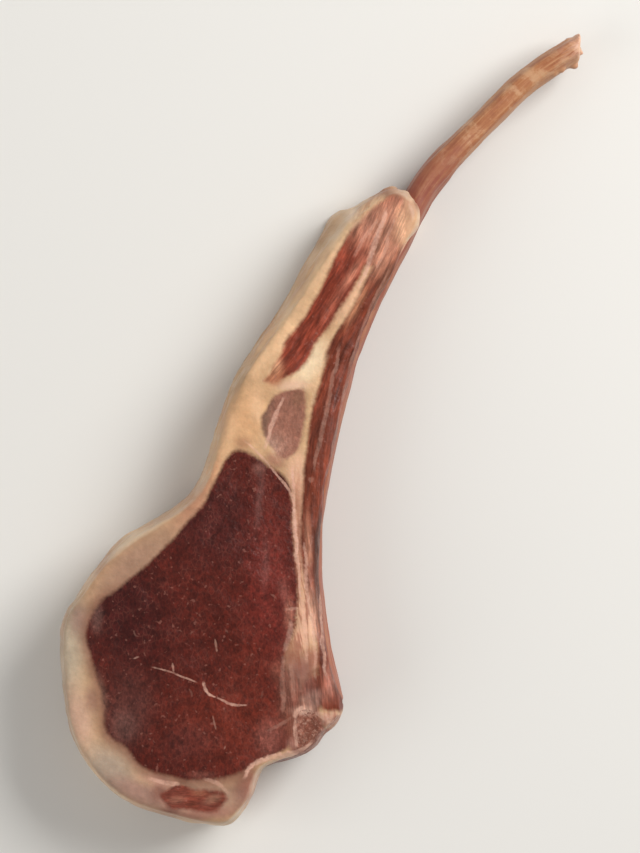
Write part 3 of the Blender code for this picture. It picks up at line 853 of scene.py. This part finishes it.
def threadPlaces(places, layer):
    # Where a place lies across the nearest thin line, in half widths, and how strongly it shows
    across = np.full(len(places), 9.0)
    show = np.zeros(len(places))
    limit = threads["reach"]
    nearest = np.full(len(places), limit)
    for half, strength, line in layer:
        near = np.flatnonzero(np.all((places > line.min(0) - limit)
                                     & (places < line.max(0) + limit), axis=1))
        reach = lineDistance(places[near], line)
        along, beside = curvePlaces(places[near], line)
        share = along / max(np.hypot(*np.diff(line, axis=0).T).sum(), 0.1)
        closer = reach < nearest[near]
        near, reach, share, beside = near[closer], reach[closer], share[closer], beside[closer]
        nearest[near] = reach
        taper = threads["taper"]
        across[near] = beside / (half * (1 - taper + taper * np.sin(np.pi * share)))
        show[near] = (strength * ease(0, 0.1, share) * ease(1, 0.9, share)
                      * ease(threads["fade"][1], threads["fade"][0], reach))
    return across, show


def paintMeat(name, piece):
    mesh = piece.data
    places = toSlanted(readPoints(mesh))
    normals = readNormals(mesh)
    depths = leanDepths(places)
    stacked = np.stack(list(depths.values()))
    nearest, depth = stacked.argmax(axis=0), stacked.max(axis=0)
    drifted = places[:, :2] - driftAt(places[:, 2])
    aside, across = paintEdges
    drifted = drifted + aside * np.stack([softNoise(places, across, seed) for seed in (41, 42)],
                                         axis=1)
    lean = np.tile(linear(paint["eye"]), (len(places), 1))
    for i, tissue in enumerate(loops):
        lean = np.where((nearest == i)[:, None], linear(paint[tissue]), lean)
    lean = addPatches(drifted, lean, leanPatches)
    fat = np.tile(linear(paint["fat"]), (len(places), 1))
    fat = addPatches(drifted, fat, fatPatches)
    outer = ease(*eyeShade["x"], drifted[:, 0]) * ease(*eyeShade["y"], drifted[:, 1])
    shade = outer * eyeShade["strength"] * np.exp(-(depths["eye"] / eyeShade["reach"]) ** 2)
    fat = mixRows(fat, linear(eyeShade["tone"]), shade)
    side = ease(*outerSide["upright"], np.hypot(normals[:, 0], normals[:, 1]))
    side *= ease(*outerSide["outside"], -depth)
    wall = addPatches(drifted, np.tile(linear(paint["wall"]), (len(places), 1)), wallPatches)
    fat = mixRows(fat, wall, side * outerSide["cover"])
    edge = lineDistance(drifted, catmull(tailRim["line"], closed=False))
    rim = ease(*tailRim["from"], places[:, 2]) * np.exp(-(edge / tailRim["reach"]) ** 2)
    fat = mixRows(fat, linear(tailRim["tone"]), tailRim["strength"] * rim)
    store(mesh, "leanDepth", paintedDepth(places, depths))
    store(mesh, "side", side)
    shares = [patchShare(drifted, *patch[:3]) * patch[3] for patch in fibrous]
    store(mesh, "fibrous", np.max(shares, axis=0))
    store(mesh, "leanPaint", lean, "FLOAT_COLOR")
    store(mesh, "fatPaint", fat, "FLOAT_COLOR")
    store(mesh, "grain", fibrePlaces(places, name), "FLOAT_VECTOR")
    for i, layer in enumerate(threadLayers):
        across, show = threadPlaces(drifted, layer)
        store(mesh, f"across{i}", across)
        store(mesh, f"show{i}", show)


threadLayers = sortThreads(marbling + membranes + scatterMarbling())
for name, piece in pieces.items():
    paintMeat(name, piece)
print("painted,", len(threadLayers), "layers of thin lines")


def addNode(tree, kind, settings=None, links=None):
    # A setting is a property of the node or the value of a socket, where text is a hex colour.
    # A link comes from a socket, or from a node's first output that is in use.
    node = tree.nodes.new(kind)
    for key, value in (settings or {}).items():
        if isinstance(key, str) and hasattr(node, key):
            setattr(node, key, value)
        else:
            value = (*linear(value), 1) if isinstance(value, str) else value
            node.inputs[key].default_value = value
    for key, source in (links or {}).items():
        if isinstance(source, bpy.types.Node):
            source = next(socket for socket in source.outputs if socket.enabled)
        tree.links.new(source, node.inputs[key])
    return node


def newMaterial(name, surface, attributes=None):
    # A material with its shader's fixed values, and the sockets of the attributes that it reads
    material = bpy.data.materials.new(name)
    material.use_nodes = True
    tree = material.node_tree
    shader = tree.nodes["Principled BSDF"]
    for key, value in surface.items():
        shader.inputs[key].default_value = value
    read = {}
    if attributes:
        for key, socket in attributes.items():
            read[key] = addNode(tree, "ShaderNodeAttribute",
                                {"attribute_name": key}).outputs[socket]
        place = addNode(tree, "ShaderNodeTexCoord").outputs["Object"]
        read["inMm"] = addNode(tree, "ShaderNodeVectorMath",
                               {"operation": "SCALE", "Scale": 1 / mm}, {0: place})
    return material, tree, shader, read


def layTone(tree, colour, tone, pattern, low, high, most=1.0, within=None):
    # Lays a tone over a colour as a pattern goes from low to high, and only within a mask
    share = addNode(tree, "ShaderNodeMapRange",
                    {"interpolation_type": "SMOOTHSTEP", "From Min": low, "From Max": high,
                     "To Max": most}, {"Value": pattern})
    if within is not None:
        share = addNode(tree, "ShaderNodeMath", {"operation": "MULTIPLY"}, {0: within, 1: share})
    return addNode(tree, "ShaderNodeMix", {"data_type": "RGBA", 7: tone},
                   {"Factor": share, 6: colour})


meatLook = {
    "bundle": 0.9,         # bundles of fibres a millimetre, drawn coarser than most real ones
    "mottle": 0.3,         # how much the lean's tone changes, by fibre
    "patch": 0.26,         # by a few bundles
    "bundleTone": 0.18,    # and by bundle
    "sheath": 0.2,         # how pale the sheaths between the bundles get
    "fleck": 0.35,         # and the flecks of fat
    "fatTone": 0.09,       # how much the fat's tone changes
    "skin": 0.28,          # how strongly the outer skin's pale and red places show
    "spongy": False,
    "roughness": (0.36, 0.5),
}
# A film of juice over wet tissue, with a little red light let through
meatSurface = {"IOR": 1.38, "Specular IOR Level": 0.3, "Coat Weight": 0.08, "Coat Roughness": 0.2,
               "Subsurface Weight": 0.08, "Subsurface Radius": (1.0, 0.35, 0.2),
               "Subsurface Scale": 0.8 * mm}


def meatMaterial(name, changes):
    # Raw lamb cut with a knife: wet dark lean and waxy fat, both with a satin gloss of juice
    look = {**meatLook, **changes}
    attributes = {"leanDepth": "Fac", "leanPaint": "Color", "fatPaint": "Color",
                  "grain": "Vector", "side": "Fac", "fibrous": "Fac"}
    for i in range(len(threadLayers)):
        attributes |= {f"across{i}": "Fac", f"show{i}": "Fac"}
    material, tree, shader, read = newMaterial(name, meatSurface, attributes)
    side = read["side"]
    noise = {}
    for key, perMm, detail, rough, where in (
            ("fine", 1.9, 3, 0.55, "grain"),      # drawn coarser than the real 0.1 mm fibres
            ("patchy", 0.75, 2, 0.7, "grain"), ("slow", 0.3, 3, 0.5, "inMm"),
            ("ragged", 1.3, 4, 0.5, "inMm"), ("lobes", 0.8, 4, 0.6, "inMm"),
            ("flecks", 1.15, 1, 0.5, "inMm"), ("broad", 0.13, 3, 0.5, "inMm")):
        noise[key] = addNode(tree, "ShaderNodeTexNoise",
                             {"Scale": perMm, "Detail": detail, "Roughness": rough},
                             {"Vector": read[where]})

    # The ends of the fibre bundles, a millimetre or so across, give the lean its fine mottle
    bent = addNode(tree, "ShaderNodeVectorMath",
                   {"operation": "MULTIPLY_ADD", 1: (0.35, 0.35, 0.35)},
                   {0: noise["ragged"].outputs["Color"], 2: read["grain"]})
    bundles = addNode(tree, "ShaderNodeTexVoronoi", {"Scale": look["bundle"]}, {"Vector": bent})
    bundle = addNode(tree, "ShaderNodeSeparateColor", {}, {"Color": bundles.outputs["Color"]})
    uneven = {
        "leanPaint": ((noise["fine"], 0.3, 0.7, look["mottle"]),
                      (noise["patchy"], 0.3, 0.7, look["patch"]),
                      (noise["slow"], 0.3, 0.7, 0.14), (bundle, 0, 1, look["bundleTone"])),
        "fatPaint": ((noise["lobes"], 0.3, 0.7, look["fatTone"]),
                     (noise["slow"], 0.3, 0.7, look["fatTone"])),
    }
    toned = []
    for key, patterns in uneven.items():
        tone = None
        for pattern, low, high, spread in patterns:
            share = addNode(tree, "ShaderNodeMapRange",
                            {"From Min": low, "From Max": high, "To Min": 1 - spread,
                             "To Max": 1 + spread}, {"Value": pattern})
            tone = share if tone is None else addNode(
                tree, "ShaderNodeMath", {"operation": "MULTIPLY"}, {0: tone, 1: share})
        if key == "fatPaint":
            # More even on the uncut outer side
            calm = addNode(tree, "ShaderNodeMath", {"operation": "MULTIPLY", 1: 0.55}, {0: side})
            tone = addNode(tree, "ShaderNodeMix", {"data_type": "FLOAT", 3: 1.0},
                           {"Factor": calm, 2: tone})
        toned.append(addNode(tree, "ShaderNodeVectorMath", {"operation": "SCALE"},
                             {0: read[key], "Scale": tone}))
    lean, fat = toned

    # Thin pale sheaths between the bundles, clearer in some places than in others, and flecks
    # of fat too small to be drawn one by one
    walls = addNode(tree, "ShaderNodeTexVoronoi",
                    {"feature": "DISTANCE_TO_EDGE", "Scale": look["bundle"]}, {"Vector": bent})
    clear = addNode(tree, "ShaderNodeMapRange",
                    {"interpolation_type": "SMOOTHSTEP", "From Min": 0.42, "From Max": 0.66,
                     "To Min": 0.05, "To Max": look["sheath"]}, {"Value": noise["slow"]})
    lean = layTone(tree, lean, "84483A", walls, 0.12, 0.02, 1.0, clear)
    lean = layTone(tree, lean, "A0685A", noise["flecks"], 0.66, 0.76, look["fleck"])
    if look["spongy"]:
        # Red marrow in pores of all sizes, between paler struts
        pores = addNode(tree, "ShaderNodeTexNoise",
                        {"Scale": 1.3, "Detail": 4.0, "Roughness": 0.75, "Distortion": 0.6},
                        {"Vector": read["inMm"]})
        lean = layTone(tree, lean, "6E3A2C", pores, 0.5, 0.4, 0.75)
        lean = layTone(tree, lean, "C09480", pores, 0.52, 0.64, 0.6)

    # On the outer side, whiter places and others where a thin red skin is left, and elsewhere
    # fibres of muscle that cross the fat
    fat = layTone(tree, fat, "EAD6BC", noise["broad"], 0.46, 0.68, look["skin"], side)
    fat = layTone(tree, fat, "BC8A74", noise["broad"], 0.5, 0.34, look["skin"], side)
    fat = layTone(tree, fat, "94543E", noise["patchy"], 0.44, 0.6, 1.0, read["fibrous"])

    # The border between lean and fat is ragged, and the threads of marbling and the thin pale
    # membranes fray where the noise is high
    varied = {}
    for key, pattern, low, high, least, most in (
            ("jitter", "ragged", 0.3, 0.7, -0.12, 0.12), ("fray", "ragged", 0.3, 0.7, -0.35, 0.35),
            ("faint", "lobes", 0.32, 0.6, 0.35, 1.0), ("rough", "slow", 0.35, 0.65,
                                                       *look["roughness"])):
        varied[key] = addNode(tree, "ShaderNodeMapRange",
                              {"From Min": low, "From Max": high, "To Min": least,
                               "To Max": most}, {"Value": noise[pattern]})
    depth = addNode(tree, "ShaderNodeMath", {"operation": "ADD"},
                    {0: read["leanDepth"], 1: varied["jitter"]})
    isLean = addNode(tree, "ShaderNodeMapRange",
                     {"interpolation_type": "SMOOTHSTEP", "From Min": -0.45, "From Max": 0.6},
                     {"Value": depth})
    colour = addNode(tree, "ShaderNodeMix", {"data_type": "RGBA"},
                     {"Factor": isLean, 6: fat, 7: lean})
    for i in range(len(threadLayers)):
        reach = addNode(tree, "ShaderNodeMath", {"operation": "ABSOLUTE"},
                        {0: read[f"across{i}"]})
        reach = addNode(tree, "ShaderNodeMath", {"operation": "ADD"},
                        {0: reach, 1: varied["fray"]})
        show = addNode(tree, "ShaderNodeMath", {"operation": "MULTIPLY"},
                       {0: read[f"show{i}"], 1: varied["faint"]})
        colour = layTone(tree, colour, "E2B09A", reach, 1.4, 0.5, 1.0, show)
    tree.links.new(colour.outputs[2], shader.inputs["Base Color"])

    # Fine grain under the film of juice, and a slightly smoother skin on the outer side
    height = addNode(tree, "ShaderNodeMath", {"operation": "MULTIPLY"},
                     {0: noise["fine"], 1: isLean})
    height = addNode(tree, "ShaderNodeMath", {"operation": "MULTIPLY_ADD", 1: 1.5},
                     {0: noise["ragged"], 2: height})
    bump = addNode(tree, "ShaderNodeBump", {"Strength": 0.6, "Distance": 0.13 * mm},
                   {"Height": height})
    tree.links.new(bump.outputs["Normal"], shader.inputs["Normal"])
    rough = addNode(tree, "ShaderNodeMath", {"operation": "MULTIPLY_ADD", 1: -0.03},
                    {0: side, 2: varied["rough"]})
    tree.links.new(rough.outputs[0], shader.inputs["Roughness"])
    return material


for name, piece in pieces.items():
    _, node, slot, materialName, changes = tissues[name]
    piece.data.materials.clear()
    piece.data.materials.append(meatMaterial(materialName, changes))
    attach(piece, "root")
    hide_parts(node)
print("meat materials set")

ribLook = {
    "streaks": ((0.26, "925434"), (0.5, "AA6E48"), (0.76, "C6946C")),
    "film": "925040",       # the juice dried on it where it leaves the meat
    "pores": ("7A4034", "D8AC8E"),
    "roughness": (0.36, 0.56),
}
# Dense bone, dried a little, that lets some warm light through
ribSurface = {"IOR": 1.45, "Subsurface Weight": 0.1, "Subsurface Radius": (1.0, 0.5, 0.3),
              "Subsurface Scale": 0.6 * mm}


def boneMaterial():
    # Rib scraped with a knife: tan bone under a thin dried film of juice, redder where it
    # leaves the meat, paler along its edges, and porous at the sawn end
    material, tree, shader, read = newMaterial(
        "scrapedRib", ribSurface, {"boneGrain": "Vector", "sawn": "Fac", "meatEnd": "Fac",
                                   "edge": "Fac", "frayed": "Fac"})
    read["short"] = addNode(tree, "ShaderNodeVectorMath",
                            {"operation": "MULTIPLY", 1: (0.8, 2.4, 1.0)},
                            {0: read["boneGrain"]})
    noise = {}
    for key, perMm, detail, rough, where in (
            ("streaks", 1.1, 5, 0.6, "boneGrain"), ("slow", 0.16, 2, 0.5, "inMm"),
            ("blotches", 0.3, 5, 0.65, "inMm"), ("specks", 1.2, 4, 0.5, "short")):
        noise[key] = addNode(tree, "ShaderNodeTexNoise",
                             {"Scale": perMm, "Detail": detail, "Roughness": rough},
                             {"Vector": read[where]})

    # Long streaks left by the knife, from brown to tan
    ramp = addNode(tree, "ShaderNodeValToRGB", {}, {"Fac": noise["streaks"]})
    stops = ramp.color_ramp.elements
    first, middle, last = ribLook["streaks"]
    stops[0].position, stops[0].color = first[0], (*linear(first[1]), 1)
    stops[1].position, stops[1].color = last[0], (*linear(last[1]), 1)
    stops.new(middle[0]).color = (*linear(middle[1]), 1)
    colour = layTone(tree, ramp, "B07648", noise["slow"], 0.45, 0.65, 0.5)

    # Scraped clean to paler bone in places and along the edges, with a red film left in others
    colour = layTone(tree, colour, "D0A680", noise["blotches"], 0.5, 0.66, 0.55)
    colour = layTone(tree, colour, "90503A", noise["blotches"], 0.48, 0.36, 0.4)
    colour = layTone(tree, colour, "C0906A", read["edge"], 0.2, 1.0, 0.5)

    # Redder where it comes out of the meat, most in the gaps between the pale streaks
    gaps = addNode(tree, "ShaderNodeMapRange",
                   {"interpolation_type": "SMOOTHSTEP", "From Min": 0.35, "From Max": 0.6,
                    "To Min": 0.95, "To Max": 0.6}, {"Value": noise["streaks"]})
    share = addNode(tree, "ShaderNodeMath", {"operation": "MULTIPLY"},
                    {0: read["meatEnd"], 1: gaps})
    colour = addNode(tree, "ShaderNodeMix", {"data_type": "RGBA", 7: ribLook["film"]},
                     {"Factor": share, 6: colour})

    # Paler and streaked brown where it frays towards the saw cut
    colour = layTone(tree, colour, "CE9C82", noise["specks"], 0.4, 0.6, 0.7, read["frayed"])
    colour = layTone(tree, colour, "7C4830", noise["specks"], 0.56, 0.7, 0.6, read["frayed"])

    # The sawn end: dark pores 0.7 mm apart between pale struts
    pores = addNode(tree, "ShaderNodeTexVoronoi", {"Scale": 1.5}, {"Vector": read["inMm"]})
    share = addNode(tree, "ShaderNodeMapRange",
                    {"interpolation_type": "SMOOTHSTEP", "From Min": 0.12, "From Max": 0.4},
                    {"Value": pores})
    dark, pale = ribLook["pores"]
    porous = addNode(tree, "ShaderNodeMix", {"data_type": "RGBA", 6: dark, 7: pale},
                     {"Factor": share})
    colour = addNode(tree, "ShaderNodeMix", {"data_type": "RGBA"},
                     {"Factor": read["sawn"], 6: colour, 7: porous})
    tree.links.new(colour.outputs[2], shader.inputs["Base Color"])
    bump = addNode(tree, "ShaderNodeBump", {"Strength": 0.6, "Distance": 0.15 * mm},
                   {"Height": noise["streaks"]})
    tree.links.new(bump.outputs["Normal"], shader.inputs["Normal"])
    least, most = ribLook["roughness"]
    rough = addNode(tree, "ShaderNodeMapRange",
                    {"From Min": 0.3, "From Max": 0.7, "To Min": least, "To Max": most},
                    {"Value": noise["streaks"]})
    tree.links.new(rough.outputs["Result"], shader.inputs["Roughness"])
    return material


bone.data.materials.clear()
bone.data.materials.append(boneMaterial())
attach(bone, "root")
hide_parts("rib_bone")
print("bone material set")

# A plain matt surface in warm white, four metres wide
bpy.ops.mesh.primitive_plane_add(size=4)
floor = bpy.context.object
floor.name = "paleSurface"
floor.data.materials.append(newMaterial(
    "paleSurface", {"Base Color": (*linear("E4E1DB"), 1), "Roughness": 0.6})[0])

studio = {
    "sky": 0.3,     # strength of the even white light
    # Square soft boxes: place and size in metres, power in watts
    "key": {"place": (0.28, 0.60, 0.55), "size": 0.5, "power": 8.0},
    "fill": {"place": (-0.45, -0.60, 0.5), "size": 0.7, "power": 2.6},
}
scene.view_settings.view_transform = "Standard"
world = bpy.data.worlds.new("studio")
world.use_nodes = True
sky = world.node_tree.nodes["Background"].inputs
sky["Color"].default_value = (1, 1, 1, 1)
sky["Strength"].default_value = studio["sky"]
scene.world = world
for name in ("key", "fill"):
    data = bpy.data.lights.new(name, "AREA")
    data.size = studio[name]["size"]
    data.energy = studio[name]["power"]
    lamp = addObject(name, data)
    lamp.location = studio[name]["place"]
    lamp.rotation_euler = (-lamp.location).to_track_quat("-Z", "Y").to_euler()

# The camera looks straight down: the middle of the picture in slanted mm, and in mm the height
# over the chop, the height of the picture and that of the sensor
view = {"middle": (5.9, 12.25), "height": 1000.0, "field": 158.0, "sensor": 36}
camera = addObject("camera", bpy.data.cameras.new("camera"))
camera.location = toFrame(view["middle"], view["height"] + chop["topDepth"])
camera.rotation_euler = (0, 0, slant["turn"])
camera.data.sensor_fit = "VERTICAL"
camera.data.sensor_height = view["sensor"]
camera.data.lens = view["sensor"] * view["height"] / view["field"]
camera.data.clip_start = 0.01
scene.camera = camera
print("camera and lights set")
